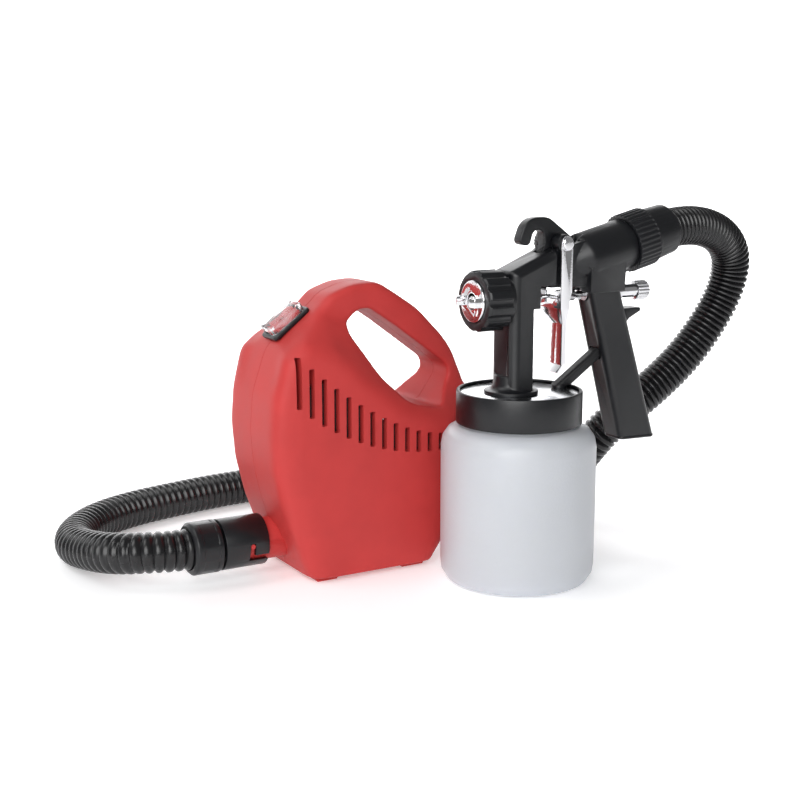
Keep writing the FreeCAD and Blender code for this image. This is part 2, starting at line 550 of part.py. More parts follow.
needle_slot = outline(blank(trigger, "needle_slot", "YZ_Plane", "arm_front - 1"), [
    ("-2.5", "needle_height - 3.5"), ("2.5", "needle_height - 3.5"), ("2.5", "plate_top + 1"),
    ("-2.5", "plate_top + 1"),
])
pocket(trigger, needle_slot, "4", flip=True)
pin_hole = ring(blank(trigger, "pin_hole", "XZ_Plane"), "pivot_x", "pivot_z", "pivot_radius + run_gap")
pocket(trigger, pin_hole, "4 * arm_inner", both=True)

arm_face = "(arm_inner + sheet + run_gap)"
pivot = turned("trigger_pivot", [
    ("0", arm_face + " * -1"), ("pivot_head", arm_face + " * -1"),
    ("pivot_head", f"-{arm_face} - pivot_head_depth + 0.6"), ("pivot_head - 0.9", f"-{arm_face} - pivot_head_depth"),
    ("0", f"-{arm_face} - pivot_head_depth"),
], x="pivot_x", z="pivot_z", axis=(1, 0, 0), turn=-90)
shank = ring(blank(pivot, "shank", "XY_Plane", f"-{arm_face}"), "0", "0", "pivot_radius")
pad(pivot, shank, f"2 * {arm_face} + 1.8")
clip_groove = outline(blank(pivot, "clip_groove", "XZ_Plane"), [
    ("pivot_radius - 0.6", arm_face), ("pivot_radius + 1", arm_face),
    ("pivot_radius + 1", arm_face + " + 0.8"), ("pivot_radius - 0.6", arm_face + " + 0.8"),
])
spin(pivot, clip_groove, "Groove")
pivot_clip = turned("pivot_clip", tube("pivot_radius - 0.6", "pivot_head", arm_face, arm_face + " + 0.8"),
                    x="pivot_x", z="pivot_z", axis=(1, 0, 0), turn=-90)
clip_gap = outline(blank(pivot_clip, "gap", "XY_Plane", arm_face), [
    ("0", "-1.6"), ("6", "-1.6"), ("6", "1.6"), ("0", "1.6"),
])
pocket(pivot_clip, clip_gap, "1", flip=True)

# Flat hook that hangs the gun up; the pivot bolt and its nut hold it in the moulding's slot.
hook = start("hook")
hook_side = outline(blank(hook, "side", "XZ_Plane"), [
    ("pivot_x - 12", "pivot_z - 6"), ("pivot_x + 18", "pivot_z - 6"), ("pivot_x + 18", "219"),
    ("30", "229", "6"), ("18", "237.5", "12"), ("1", "237", "12"), ("-5", "221", "3.4"), ("3.6", "219", "3.4"),
    ("6.6", "229", "5"), ("14", "230", "4"), ("15", "219"),
])
pad(hook, hook_side, "2 * hook_half", both=True)
soften(hook, "Fillet", "1", lambda edge: near(abs(edge.BoundBox.YMin), value("hook_half"))
       and near(edge.BoundBox.YMin, edge.BoundBox.YMax) and edge.BoundBox.ZMax > 222)
hook_hole = ring(blank(hook, "hole", "XZ_Plane"), "pivot_x", "pivot_z", "pivot_radius")
pocket(hook, hook_hole, "4 * hook_half", both=True)
hook_nut = turned("hook_nut", [
    ("pivot_radius", "hook_half"), ("hook_nut_radius", "hook_half"),
    ("hook_nut_radius", "hook_half + hook_nut_depth"), ("pivot_radius", "hook_half + hook_nut_depth"),
], x="pivot_x", z="pivot_z", axis=(1, 0, 0), turn=-90)
nick = ring(blank(hook_nut, "nick", "XY_Plane", "hook_half"), "hook_nut_radius + 0.5", "0", "0.9")
around(hook_nut, pocket(hook_nut, nick, "hook_nut_depth + 1", flip=True), 24)

# ---------------------------------------------------------------- tube that brings air pressure to the cup
barb = start("pressure_barb", x="tube_low_x", z=disc_top)
pad(barb, ring(blank(barb, "base", "XY_Plane"), "0", "0", "5"), "1.6")
pressure_tube = start("pressure_tube", x="tube_low_x", z="tube_low_z", axis=(0, 1, 0), turn="-tube_slope")
tube_face = outline(blank(pressure_tube, "face", "YZ_Plane", "-4"), [
    ("-tube_wide / 2", "-tube_deep / 2", "2.5"), ("tube_wide / 2", "-tube_deep / 2", "2.5"),
    ("tube_wide / 2", "tube_deep / 2", "2.5"), ("-tube_wide / 2", "tube_deep / 2", "2.5"),
])
pad(pressure_tube, tube_face, "tube_high + 3")
lid_level = outline(blank(pressure_tube, "lid_level", "XZ_Plane", tilt="tube_slope * -1"), [
    ("-30", "-30"), ("30", "-30"), ("30", "(neck_top + gasket_depth + disc_depth) - tube_low_z + 1.6"),
    ("-30", "(neck_top + gasket_depth + disc_depth) - tube_low_z + 1.6"),
])
pocket(pressure_tube, lid_level, "30", both=True)

# ---------------------------------------------------------------- turbine box, near and far halves
near_half = start("housing_near", y="turbine_y")


def side_outline(name, offset, corners):
    return outline(blank(near_half, name, "XZ_Plane", offset), corners)


# The middle of the box carries the switch slope, the handle and the full side silhouette.
core = side_outline("core", "0", [
    ("toe_x + 1", "toe_z"), ("toe_x + 6", "3"), ("-34", "3"), ("-12", "32", "30"), ("2", "60", "50"),
    ("6", "92", "40"), ("7", "121", "14"), ("-8", "149", "60"), ("-64", "194", "22"), ("-100", "187.5", "12"),
    ("slope_top_x", "slope_top_z", "9"), ("band_top_x", "band_top_z", "9"), ("-147.5", "92", "90"),
])
pad(near_half, core, "core_half")
core_edge = -value("core_half")


def handle_ridge(edge):
    """The side edges along the top of the handle."""
    box = edge.BoundBox
    flat = near(box.YMin, core_edge) and near(box.YMax, core_edge)
    return flat and box.ZMax > 189 and box.XLength > 20


soften(near_half, "Fillet", "handle_round", handle_ridge)

# Wide body below the handle. Its face leans back above the vents, and its ridge is rounded in steps.
low_side = [("2", "60"), ("-12", "32"), ("-34", "3"), ("foot_x", "3"), ("toe_x", "toe_z"), ("-139", "47"),
            ("-147", "90")]
low_ridge = [("0.5", "61"), ("-13.5", "34"), ("-35", "5"), ("foot_x + 1", "5"), ("toe_x + 2.5", "toe_z + 1.5"),
             ("-137", "47.5"), ("-145", "90")]
low_face = [("-4", "62"), ("-18", "37"), ("-38", "9"), ("foot_x + 2", "9"), ("toe_x + 8", "toe_z + 5"),
            ("-131", "49"), ("-139", "90")]
core_top = [("band_top_x", "band_top_z"), ("-120", "165"), ("slope_top_x", "170"), ("-80", "160"),
            ("-60", "143"), ("-30", "125"), ("10", "116")]
crown_top = [("-144.5", "133"), ("-120", "150"), ("-102", "150"), ("-80", "136"), ("-60", "121"),
             ("-30", "108"), ("8", "104")]
ridge_top = [("-144", "119"), ("-123", "137"), ("-103", "137"), ("-81", "123"), ("-60", "110.5"),
             ("-30", "99.5"), ("6.5", "97")]
face_top = [("-138", "106"), ("-126", "121"), ("-105", "122"), ("-82", "109"), ("-60", "99"), ("-30", "90.5"),
            ("0", "88")]
loft(near_half, [
    side_outline("wide_middle", "0", low_side + core_top),
    side_outline("wide_core", "core_half", low_side + core_top),
    side_outline("wide_crown", "crown_half", low_side + crown_top),
    side_outline("wide_ridge", "half_width - 2.4", low_ridge + ridge_top),
    side_outline("wide_face", "half_width", low_face + face_top),
])

# The right end is rounded in plan, so that it clears the cup.
end_cut = outline(blank(near_half, "end_cut", "XY_Plane"), [
    ("-60", "-70"), ("60", "-70"), ("60", "5"), ("end_x", "5"), ("end_x", "-half_width - 0.1", "end_corner"),
    ("-60", "-half_width - 0.1"),
])
pocket(near_half, end_cut, "600", both=True)
for low, high in (("foot_x - 5", "foot_x + 9"), ("heel_x - 8", "heel_x + 8")):
    pedestal = side_outline("pedestal", "0", [
        (low + " - 3", "4"), (low, "0"), (high, "0"), (high + " + 3", "4"),
    ])
    pad(near_half, pedestal, "half_width - 7")

handle_hole = side_outline("handle_hole", "0", [
    ("-98", "167", "8"), ("-79", "180", "8"), ("-38", "151", "10"), ("-8", "132", "8"), ("-24", "109", "10"),
    ("-50", "112", "15"), ("-82", "139", "40"),
])
pocket(near_half, handle_hole, "half_width + 5", flip=True)

# Hollow: a deep room behind the vents and a shallower one that follows the leaning face.
deep_room = [
    ("-117", "13"), ("-40", "13"), ("-26", "36"), ("-16", "62"), ("-17", "84"), ("-34", "86"), ("-60", "94.5"),
    ("-82", "104.5"), ("-105", "117"), ("-124", "116"), ("-133", "102"), ("-134.5", "90"), ("-127", "49"),
]
pocket(near_half, side_outline("deep_room", "0", deep_room), "deep_reach", flip=True)
wide_room = side_outline("wide_room", "0", [
    ("-121", "9"), ("-37", "7"), ("-17", "37"), ("-3", "62"), ("1", "98"), ("-28", "102"), ("-52", "105"),
    ("-86", "131"), ("-99", "150"), ("-104", "150"), ("-120", "150"), ("-138", "136"), ("-142", "92"),
    ("-134", "50"),
])
pocket(near_half, wide_room, "wide_reach", flip=True)
handle_room = side_outline("handle_room", "0", [
    ("-74", "183"), ("-64", "187.5"), ("-12", "146.5"), ("-4", "134"), ("-36", "156"),
])
pocket(near_half, handle_room, "core_half - 4", flip=True)

# Upright vents, whose ends follow two curves.
vent_count = int(SIZES["vent_count"])
for first_vent in range(0, vent_count, 3):
    vents = blank(near_half, f"vents{first_vent}", "XZ_Plane", "half_width + 2")
    for k in range(first_vent, min(first_vent + 3, vent_count)):
        share = (vent_count - 1 - k) / (vent_count - 1)
        low_end = f"{80 + 38 * share ** 2.2:.2f}"
        high_end = f"{92 + 59 * share ** 1.6:.2f}"
        middle = f"vent_first_x + {k} * vent_pitch"
        outline(vents, [
            (middle + " - vent_width / 2", low_end, "1.6"), (middle + " + vent_width / 2", low_end, "1.6"),
            (middle + " + vent_width / 2", high_end, "1.6"), (middle + " - vent_width / 2", high_end, "1.6"),
        ])
    pocket(near_half, vents, "vent_reach")

# Screw posts, and the openings for the outlet, the switch and the power cord.
screw_spots = [("-106", "17"), ("-44", "17"), ("-19", "68"), ("-36", "82"), ("-117", "104")]
posts = blank(near_half, "posts", "XZ_Plane")
for across, up in screw_spots:
    ring(posts, across, up, "post_radius")
pad(near_half, posts, "deep_reach + 1")
pilots = blank(near_half, "pilots", "XZ_Plane")
for across, up in screw_spots:
    ring(pilots, across, up, "screw_radius")
pocket(near_half, pilots, "24", flip=True)
outlet_hole = ring(blank(near_half, "outlet_hole", "YZ_Plane", "outlet_back + 8"), "0", "outlet_z",
                   "spigot_radius")
pocket(near_half, outlet_hole, "60", flip=False)
cord_hole = ring(blank(near_half, "cord_hole", "YZ_Plane", "-25"), "0", "42", "5.5")
pocket(near_half, cord_hole, "40", flip=True)
switch_frame = dict(shift=("(band_top_x + slope_top_x) / 2", "(band_top_z + slope_top_z) / 2"), tilt="switch_slope")
switch_hole = outline(blank(near_half, "switch_hole", "XZ_Plane", **switch_frame), [
    ("-bezel_long / 2 + 2.5", "-15"), ("bezel_long / 2 - 2.5", "-15"), ("bezel_long / 2 - 2.5", "12"),
    ("-bezel_long / 2 + 2.5", "12"),
])
pocket(near_half, switch_hole, "bezel_wide / 2 - 1.5", flip=True)

far_blank = doc.addObject("Part::Mirroring", "far_blank")
far_blank.Source = near_half
far_blank.Normal = Vector(0, 1, 0)
far_blank.setExpression("Base.y", cells("turbine_y"))
wells = []
for across, up in screw_spots:
    for radius, reach in (("screw_radius + 2.2", "half_width - 20"), ("screw_radius + slot_gap", "half_width + 1")):
        well = doc.addObject("Part::Cylinder", "well")
        well.Placement = Placement(Vector(value(across), 0, value(up)), Rotation(Vector(1, 0, 0), 90))
        well.setExpression("Radius", cells(radius))
        well.setExpression("Height", cells(reach))
        well.setExpression("Placement.Base.y", cells("turbine_y + half_width + 1"))
        wells.append(well)
well_set = doc.addObject("Part::MultiFuse", "well_set")
well_set.Shapes = wells
housing_far = doc.addObject("Part::Cut", "housing_far")
housing_far.Label = "housing_far"
housing_far.Base = far_blank
housing_far.Tool = well_set
nodes.append(housing_far)

screws = start("housing_screws", y="turbine_y")
for kind, radius, low, high in (("head", "screw_radius + 2", "21", "23.6"), ("thread", "screw_radius", "-18", "21")):
    disc = blank(screws, kind, "XZ_Plane", "-" + high)
    for across, up in screw_spots:
        ring(disc, across, up, radius)
    pad(screws, disc, f"{high} - ({low})")

# ---------------------------------------------------------------- switch, outlet, cord inlet
slope = dict(x="(band_top_x + slope_top_x) / 2", y="turbine_y", z="(band_top_z + slope_top_z) / 2",
             axis=(0, 1, 0), turn="-switch_slope")
bezel = start("switch_bezel", **slope)


def plate(body, name, height, long, wide, corner):
    sides = [(f"{a}({long}) / 2", f"{b}({wide}) / 2", corner) for a, b in ("--", "+-", "++", "-+")]
    return outline(blank(body, name, "XY_Plane", height), sides)


pad(bezel, plate(bezel, "rim", "0.2", "bezel_long", "bezel_wide", "3"), "bezel_deep - 0.2")
pad(bezel, plate(bezel, "well", "-14", "bezel_long - 5.6", "bezel_wide - 3.6", "1"), "15")
pocket(bezel, plate(bezel, "room", "bezel_deep", "rocker_long + 6 * slot_gap", "rocker_wide + 2 * slot_gap", "1"),
       "bezel_deep + 11")
soften(bezel, "Chamfer", "0.6", lambda edge: near(edge.BoundBox.ZMin, value("bezel_deep"))
       and near(abs(edge.BoundBox.YMin), value("bezel_wide") / 2) and edge.Length > 10)
rocker = start("switch_rocker", **slope)
rocker_side = outline(blank(rocker, "side", "XZ_Plane"), [
    ("-rocker_long / 2 + 0.7", "0.5"), ("-rocker_long / 2 + 1.5", "-3"), ("-5", "-8"), ("5", "-8"),
    ("rocker_long / 2 - 1.5", "-3"), ("rocker_long / 2 - 0.7", "0.5"), ("rocker_long / 2 - 1.2", "bezel_deep + 2.2"),
    ("0", "bezel_deep - 1"), ("-rocker_long / 2 + 1.2", "bezel_deep + 1.2"),
])
pad(rocker, rocker_side, "rocker_wide", both=True)
axle = ring(blank(rocker, "axle_hole", "XZ_Plane"), "0", "-5", "1.5")
pocket(rocker, axle, "2 * rocker_wide", both=True)
switch_axle = start("switch_axle", **slope)
pad(switch_axle, ring(blank(switch_axle, "pin", "XZ_Plane"), "0", "-5", "1.45"), "rocker_wide + 2 * slot_gap", both=True)
cover = start("switch_cover", **slope)
pad(cover, plate(cover, "dome", "bezel_deep", "bezel_long - 4", "bezel_wide - 4", "3"), "cover_height")
soften(cover, "Fillet", "2.2", lambda edge: near(edge.BoundBox.ZMin, value("bezel_deep + cover_height")))
pocket(cover, plate(cover, "room", "bezel_deep", "bezel_long - 4 - 2 * cover_wall",
                    "bezel_wide - 4 - 2 * cover_wall", "2"), "cover_height - cover_wall", flip=True)

outlet = turned("outlet_spigot", [
    ("spigot_bore", "-outlet_back"), ("spigot_radius", "-outlet_back"), ("spigot_radius", "-outlet_front"),
    ("spigot_bore", "-outlet_front"),
], y="turbine_y", z="outlet_z", turn=-90)
lug = ring(blank(outlet, "lug", "XZ_Plane", "spigot_bore + 0.6"), "0", "-lug_x", "1.6")
pad(outlet, lug, "spigot_radius - spigot_bore - 0.6 + lug_height")
grommet = turned("cord_grommet", [
    ("3", "-19"), ("5.5", "-19"), ("5.5", "0"), ("7", "0"), ("7", "3"), ("4", "5"), ("3", "5"),
], x="-3.2", y="turbine_y", z="42", turn=90)

# ---------------------------------------------------------------- motor and fan inside the box
motor = dict(x="motor_x", y="turbine_y", z="motor_z", axis=(1, 0, 0), turn=-90)
motor_frame = turned("motor_frame", [
    ("bearing_radius", "-34"), ("stator_radius + can_sheet", "-34"), ("stator_radius + can_sheet", "6"),
    ("fan_radius", "6"), ("fan_radius", "8"), ("bearing_radius", "8"), ("bearing_radius", "6"),
    ("stator_radius", "6"), ("stator_radius", "-32"), ("bearing_radius", "-32"),
], **motor)
air_gap = ring(blank(motor_frame, "air_gap", "XY_Plane", "8"), "19", "0", "5")
around(motor_frame, pocket(motor_frame, air_gap, "3"), 6)
bearings = turned("motor_bearings", tube("shaft_radius", "bearing_radius", "-34", "-29"), **motor)
spin(bearings, outline(blank(bearings, "second", "XZ_Plane"), tube("shaft_radius", "bearing_radius", "3.5", "8")))
field = turned("motor_field", tube("stator_bore", "stator_radius", "-19", "2"), **motor)
window = ring(blank(field, "window", "XY_Plane", "2"), "22.5", "0", "3.5")
around(field, pocket(field, window, "30"), 8)
fan_case = turned("fan_case", [
    ("fan_radius - can_sheet", "8"), ("fan_radius", "8"), ("fan_radius", "33"), ("12", "33"),
    ("12", "33 - can_sheet"), ("fan_radius - can_sheet", "33 - can_sheet"),
], **motor)
duct_hole = ring(blank(fan_case, "outlet", "YZ_Plane", "0"), "0", "16", "5")
pocket(fan_case, duct_hole, "50")
diffuser = turned("diffuser", tube("shaft_radius + 2", "fan_radius - can_sheet", "8", "9.5"), **motor)
vane = outline(blank(diffuser, "vane", "XY_Plane", "9.5"), [
    ("12", "-0.6"), ("fan_radius - can_sheet - 3", "3"), ("fan_radius - can_sheet - 3", "4.2"), ("12", "0.6"),
])
around(diffuser, pad(diffuser, vane, "3"), 10)
impeller = turned("impeller", tube("shaft_radius", "7", "14", "29"), **motor)
spin(impeller, outline(blank(impeller, "back", "XZ_Plane"), tube("6.5", "impeller_radius", "14", "15.2")))
spin(impeller, outline(blank(impeller, "front", "XZ_Plane"), tube("13", "impeller_radius", "28.6", "29.8")))
blade = outline(blank(impeller, "blade", "XY_Plane", "15"), [
    ("6.5", "-0.5"), ("impeller_radius - 0.5", "-9"), ("impeller_radius - 0.5", "-7.8"), ("6.5", "0.6"),
])
around(impeller, pad(impeller, blade, "13.8"), 9)
armature = turned("armature", [
    ("0", "-33.5"), ("shaft_radius", "-33.5"), ("shaft_radius", "-28"), ("commutator_radius", "-28"),
    ("commutator_radius", "-21"), ("12", "-21"), ("rotor_radius", "-19"), ("rotor_radius", "2"),
    ("shaft_radius + 1", "3"), ("shaft_radius", "3"), ("shaft_radius", "31"), ("0", "31"),
], **motor)
slot = ring(blank(armature, "slot", "XY_Plane", "2.5"), "rotor_radius - 1.2", "0", "1.3")
around(armature, pocket(armature, slot, "20.8"), 12)
brushes = start("motor_brushes", **motor)
for side in ["YZ_Plane"]:
    for away in ("commutator_radius + run_gap", "-stator_radius + slot_gap"):
        face = outline(blank(brushes, "face", side, away), [
            ("-3", "-27.5"), ("3", "-27.5"), ("3", "-21.5"), ("-3", "-21.5"),
        ])
        pad(brushes, face, "stator_radius - commutator_radius - run_gap - slot_gap")
mounts = start("motor_mounts", **motor)
for height, radius, low in (("-deep_reach", "17", "3.5"), ("33", "24", "deep_reach - 33")):
    feet = blank(mounts, "feet", "XY_Plane", height)
    for turn in (90, 210, 330):
        ring(feet, f"{radius} * cos({turn} deg)", f"{radius} * sin({turn} deg)", "4.5")
    pad(mounts, feet, low)
filters = start("intake_filters", y="turbine_y")
foam = [("-110", "98"), ("-105", "113"), ("-82", "101"), ("-60", "91"), ("-43", "86"), ("-43", "80"),
        ("-60", "84"), ("-82", "92")]
for low in ("deep_reach - 2.8", "-deep_reach"):
    pad(filters, outline(blank(filters, "foam", "XZ_Plane", low), foam), "2.8")

# ---------------------------------------------------------------- hose ends and hose
turbine_end = dict(x="sleeve_mouth", y="turbine_y", z="outlet_z", turn=-90)
lock_sleeve = turned("turbine_lock_sleeve", [
    ("spigot_radius + run_gap", "0"), ("sleeve_radius", "0"), ("sleeve_radius", "sleeve_length"),
    ("13.6", "sleeve_length"), ("13.6", "sleeve_length - 3"), ("15.3", "sleeve_length - 3"), ("15.3", "14.5"),
    ("spigot_radius + run_gap", "14.5"),
], **turbine_end)
entry = outline(blank(lock_sleeve, "entry", "XZ_Plane"), [
    ("-9.8", "-1"), ("-6.2", "-1"), ("-6.2", "9.9"), ("1.9", "9.9"), ("1.9", "13.5"), ("-9.8", "13.5"),
])
pocket(lock_sleeve, entry, "sleeve_radius + 1", flip=True)
turbine_nut = turned("turbine_hose_nut", [
    ("11.5", "15"), ("15", "15"), ("15", "18"), ("13.3", "18"), ("13.3", "32"), ("end_radius", "32"),
    ("end_radius", "32 + end_length - 2"), ("15.4", "32 + end_length"), ("hose_radius", "32 + end_length"),
    ("hose_radius", "36"), ("11.5", "36"),
], **turbine_end)
nut_flat = outline(blank(turbine_nut, "flat", "XY_Plane", "35"), [
    ("end_radius - 0.5", "-9"), ("end_radius + 3", "-9"), ("end_radius + 3", "9"), ("end_radius - 0.5", "9"),
])
around(turbine_nut, pocket(turbine_nut, nut_flat, "10", flip=True), 12)

gun_end = dict(x="air_mouth_x", z="air_mouth_z", turn="90 - air_slope")
hose_sleeve = turned("gun_hose_sleeve", [
    ("spigot_bore", "spigot_length + face_gap"), ("17.2", "spigot_length + face_gap"),
    ("17.2", "spigot_length + 2.8"), ("15.6", "spigot_length + 2.8"), ("15.6", "collar_length + face_gap"),
    ("18", "collar_length + face_gap"), ("17", "36"), ("15.5", "37.5"), ("hose_radius", "37.5"),
    ("hose_radius", "23.8"), ("spigot_bore - 0.5", "23.8"), ("spigot_bore - 0.5", "20"),
], **gun_end)
lock_collar = turned("gun_lock_collar", [
    ("spigot_radius + run_gap", "0"), ("lock_radius", "0"), ("lock_radius", "collar_length"),
    ("15.8", "collar_length"), ("15.8", "collar_length - 2"), ("17.5", "collar_length - 2"),
    ("17.5", "spigot_length"), ("spigot_radius + run_gap", "spigot_length"),
], **gun_end)
rib_gap = ring(blank(lock_collar, "rib_gap", "XY_Plane"), "lock_radius + 0.6", "0", "1.3")
around(lock_collar, pocket(lock_collar, rib_gap, "collar_length - 1.5", flip=True), 36)


def hose_path(points):
    """Straight runs joined by arcs that touch both."""
    spots = [Vector(*p) for p in points]
    parts = []
    last = spots[0]
    radii = []
    for before, here, after in zip(spots, spots[1:], spots[2:]):
        to_last = (before - here).normalize()
        to_next = (after - here).normalize()
        turn = math.pi - to_last.getAngle(to_next)
        reach = 0.45 * min((before - here).Length, (after - here).Length)
        radius = reach / math.tan(turn / 2)
        centre = here + (to_last + to_next).normalize() * (radius / math.cos(turn / 2))
        first = here + to_last * reach
        final = here + to_next * reach
        middle = centre + (here - centre).normalize() * radius
        parts.append(Part.LineSegment(last, first).toShape())
        parts.append(Part.Arc(first, middle, final).toShape())
        last = final
        radii.append(round(radius))
    parts.append(Part.LineSegment(last, spots[-1]).toShape())
    print("hose bend radii", radii)
    return Part.Wire(parts)


def hose_solid(wire, radius, sides):
    """A solid that follows the wire, with a many-sided section whose corners lie on the round one."""
    start_point = wire.OrderedVertexes[0].Point
    corners = []
    for k in range(sides + 1):
        angle = 2 * math.pi * k / sides
        corners.append(start_point + Vector(0, radius * math.cos(angle), radius * math.sin(angle)))
    return wire.makePipeShell([Part.makePolygon(corners)], True, False)


hose_line = hose_path(HOSE_ROUTE)
hose = doc.addObject("Part::Feature", "hose")
hose.Label = "hose"
hose.Shape = hose_solid(hose_line, SIZES["hose_radius"], 16).cut(
    hose_solid(hose_line, SIZES["hose_radius"] - SIZES["hose_wall"], 12))
expected = hose_line.Length * (8 * 13.5 ** 2 * math.sin(math.pi / 8) - 6 * 11.5 ** 2 * math.sin(math.pi / 6))
print("hose length", round(hose_line.Length), "volume over expected", round(hose.Shape.Volume / expected, 4))
nodes.append(hose)

# ---------------------------------------------------------------- return spring
turns = 5
coil_length = SIZES["bush_front"] - SIZES["stem_seat"] - 2 - SIZES["spring_wire"] * 2
coil_radius = 3.5
helix = Part.makeHelix(coil_length / turns, coil_length, coil_radius)
thick = SIZES["spring_wire"] * 0.9
wire_corners = [(coil_radius - thick, 0, -thick), (coil_radius + thick, 0, -thick), (coil_radius + thick, 0, thick),
                (coil_radius - thick, 0, thick), (coil_radius - thick, 0, -thick)]
wire_face = Part.makePolygon([Vector(*corner) for corner in wire_corners])
coil = Part.Wire(helix).makePipeShell([wire_face], True, True)
spring = doc.addObject("Part::Feature", "needle_spring")
spring.Label = "needle_spring"
spring.Shape = coil
seat(spring, "stem_seat + 2 + spring_wire", "0", "needle_height", (0, 1, 0), 90)
nodes.append(spring)

# ---------------------------------------------------------------- checks and files
doc.recompute()
for piece in doc.Objects:
    if any(word in ("Invalid", "Error") for word in piece.State):
        raise RuntimeError(piece.Label + " " + str(piece.State))
for node in nodes:
    if node.Shape.isNull() or not node.Shape.isValid() or node.Shape.Volume <= 0:
        raise RuntimeError(node.Label + " has no valid shape")
os.makedirs("parts", exist_ok=True)
for node in nodes:
    node.Shape.exportStep("parts/" + node.Label + ".step")
    print(node.Label, len(node.Shape.Solids), "solids", round(node.Shape.Volume), "mm3")
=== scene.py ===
import bpy
import bmesh
import json
import math
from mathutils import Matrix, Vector


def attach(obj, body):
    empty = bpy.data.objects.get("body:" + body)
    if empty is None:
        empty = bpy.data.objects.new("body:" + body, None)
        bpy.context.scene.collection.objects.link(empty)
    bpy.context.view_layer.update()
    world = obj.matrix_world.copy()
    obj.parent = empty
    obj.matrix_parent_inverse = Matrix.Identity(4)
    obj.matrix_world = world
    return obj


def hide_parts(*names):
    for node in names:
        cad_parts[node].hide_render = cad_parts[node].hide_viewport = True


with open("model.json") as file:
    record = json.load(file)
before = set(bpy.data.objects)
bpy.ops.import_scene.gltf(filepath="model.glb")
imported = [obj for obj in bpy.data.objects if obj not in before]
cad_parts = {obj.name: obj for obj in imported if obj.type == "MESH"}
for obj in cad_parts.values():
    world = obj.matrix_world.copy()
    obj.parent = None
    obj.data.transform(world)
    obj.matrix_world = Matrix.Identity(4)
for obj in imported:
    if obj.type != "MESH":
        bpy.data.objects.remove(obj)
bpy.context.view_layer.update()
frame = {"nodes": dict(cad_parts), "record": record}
MM = 0.001

# ---------------------------------------------------------------- turbine box
# Two red halves of injection-moulded plastic, screwed together along the middle of the box.
# The sides lean in above the air slots and run up into a carrying handle; two low feet cross the base.
# Sizes here are in millimetres, with depths across the box counted from its middle plane.
box_middle = 89
half_width = 41
crown_depth = 33
core_depth = 20
end_corner = 40


def only(piece):
    """Select one piece and nothing else."""
    bpy.ops.object.select_all(action="DESELECT")
    piece.select_set(True)
    bpy.context.view_layer.objects.active = piece


def edit(piece, kind="FACE", test=None):
    """Go into edit mode with the faces or edges selected that pass the test."""
    only(piece)
    bpy.ops.object.mode_set(mode="EDIT")
    bpy.ops.mesh.select_mode(type=kind)
    bpy.ops.mesh.select_all(action="SELECT" if test is None else "DESELECT")
    if test is not None:
        shape = bmesh.from_edit_mesh(piece.data)
        for part in (shape.faces if kind == "FACE" else shape.edges if kind == "EDGE" else shape.verts):
            part.select_set(bool(test(part)))
        bmesh.update_edit_mesh(piece.data)


def done():
    bpy.ops.object.mode_set(mode="OBJECT")


def applied(piece, kind, **settings):
    """Give a piece a modifier and apply it."""
    only(piece)
    modifier = piece.modifiers.new(kind.lower(), kind)
    for name, setting in settings.items():
        setattr(modifier, name, setting)
    bpy.ops.object.modifier_apply(modifier=modifier.name)
    return piece


def cut(piece, tool, operation="DIFFERENCE"):
    applied(piece, "BOOLEAN", operation=operation, object=tool, solver="EXACT")
    bpy.data.objects.remove(tool)
    return piece


def joined(first, *others):
    bpy.ops.object.select_all(action="DESELECT")
    for piece in (first, *others):
        piece.select_set(True)
    bpy.context.view_layer.objects.active = first
    bpy.ops.object.join()
    return first


def rounded(corners, steps=7):
    """A side outline in millimetres, each corner turned into an arc of its own radius."""
    points = []
    for k, corner in enumerate(corners):
        here = Vector(corner[:2])
        if len(corner) < 3:
            points.append(here)
            continue
        to_last = (Vector(corners[k - 1][:2]) - here).normalized()
        to_next = (Vector(corners[(k + 1) % len(corners)][:2]) - here).normalized()
        turn = to_last.angle(to_next)
        centre = here + (to_last + to_next).normalized() * corner[2] / math.sin(turn / 2)
        first = (here + to_last * corner[2] / math.tan(turn / 2) - centre).normalized()
        final = (here + to_next * corner[2] / math.tan(turn / 2) - centre).normalized()
        points += [centre + first.slerp(final, s / steps) * corner[2] for s in range(steps + 1)]
    return points


def through(name, levels, middle=box_middle):
    """A closed solid through outlines of equally many points, each at its own depth from the middle plane."""
    bpy.ops.mesh.primitive_circle_add(vertices=len(levels[0][1]), fill_type="NGON")
    piece = bpy.context.object
    piece.name = name
    edit(piece)
    shape = bmesh.from_edit_mesh(piece.data)
    shape.verts.ensure_lookup_table()
    ring = list(shape.verts)
    for level, (depth, points) in enumerate(levels):
        if level:
            places = [v.index for v in ring]
            bpy.ops.mesh.extrude_region_move()
            shape = bmesh.from_edit_mesh(piece.data)
            shape.verts.ensure_lookup_table()
            top = set(next(f for f in shape.faces if f.select).verts)
            ring = [next(e.other_vert(shape.verts[i]) for e in shape.verts[i].link_edges
                         if e.other_vert(shape.verts[i]) in top) for i in places]
        for corner, point in zip(ring, points):
            corner.co = (point[0] * MM, (middle + depth) * MM, point[1] * MM)
        shape.verts.index_update()
        bmesh.update_edit_mesh(piece.data)
    bpy.ops.mesh.select_all(action="SELECT")
    bpy.ops.mesh.normals_make_consistent(inside=False)
    done()
    return piece


